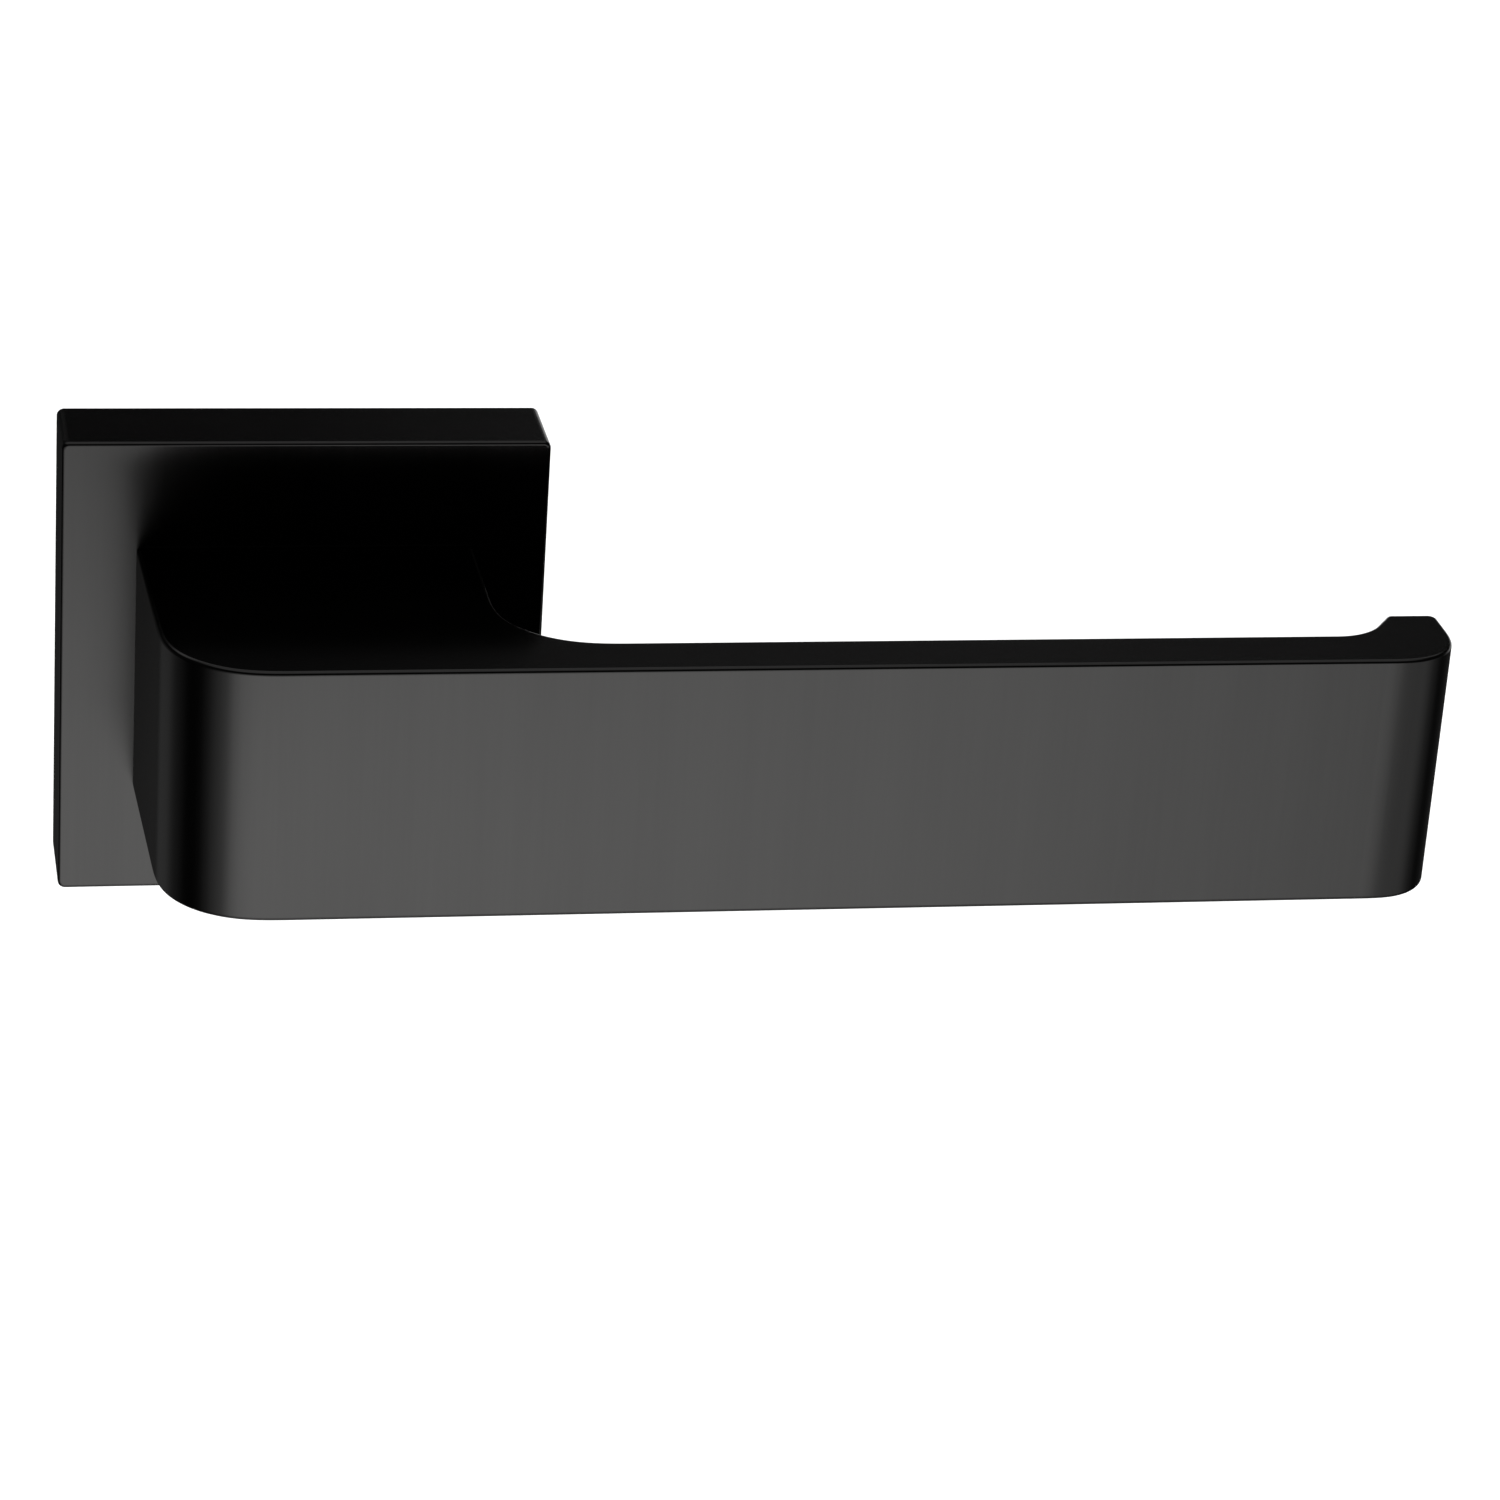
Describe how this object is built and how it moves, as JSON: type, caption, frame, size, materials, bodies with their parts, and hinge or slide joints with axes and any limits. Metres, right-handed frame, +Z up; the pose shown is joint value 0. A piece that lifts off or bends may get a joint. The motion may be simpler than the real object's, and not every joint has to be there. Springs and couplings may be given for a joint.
{
  "type": "door lever handle",
  "caption": "Flat rectangular door lever on a thin square rose, dark satin graphite metal, with return spring, square spindle and bolt-through fixings.",
  "frame": {"origin": "where the spindle axis crosses the door face, the centre of the rose's back", "axes": "+X along the lever towards its free end, +Y into the door along the spindle, +Z up; the room is on the -Y side"},
  "size_m": [0.1456, 0.098, 0.052],
  "materials": {
    "graphite_metal": "satin graphite nickel over zinc die casting, faint vertical brushing",
    "black_steel": "black oxide set screws",
    "spindle_steel": "drawn square steel bar, zinc plated",
    "sintered_steel": "sintered steel, fine grey pores",
    "spring_steel": "patented spring wire",
    "cast_zinc": "raw pressure die cast zinc, matt grey",
    "plated_steel": "bright zinc plated pressed steel",
    "fastener_steel": "zinc plated screws",
    "nylon": "natural moulded nylon",
    "rubber_black": "moulded rubber buffers"
  },
  "bodies": {
    "rose": {"rose_cover": "graphite_metal", "cover_set_screw": "black_steel", "base_plate": "cast_zinc", "fixing_posts": "plated_steel", "guide_ring": "nylon", "return_spring": "spring_steel", "stop_buffers": "rubber_black", "spring_plate": "plated_steel", "plate_screws": "fastener_steel", "fixing_bolts": "fastener_steel", "bolt_washers": "plated_steel"},
    "lever": {"lever_handle": "graphite_metal", "grub_screw": "black_steel", "spindle": "spindle_steel", "spring_hub": "sintered_steel", "wave_washer": "spring_steel"}
  },
  "joints": [
    {"name": "lever_turn", "type": "hinge", "parent": "rose", "child": "lever", "pos_m": [0, 0, 0], "axis": [0, 1, 0], "range_deg": [0, 45], "stiffness_Nm_per_rad": 0.9, "springref_deg": -34.38, "deforming": ["return_spring"]}
  ]
}
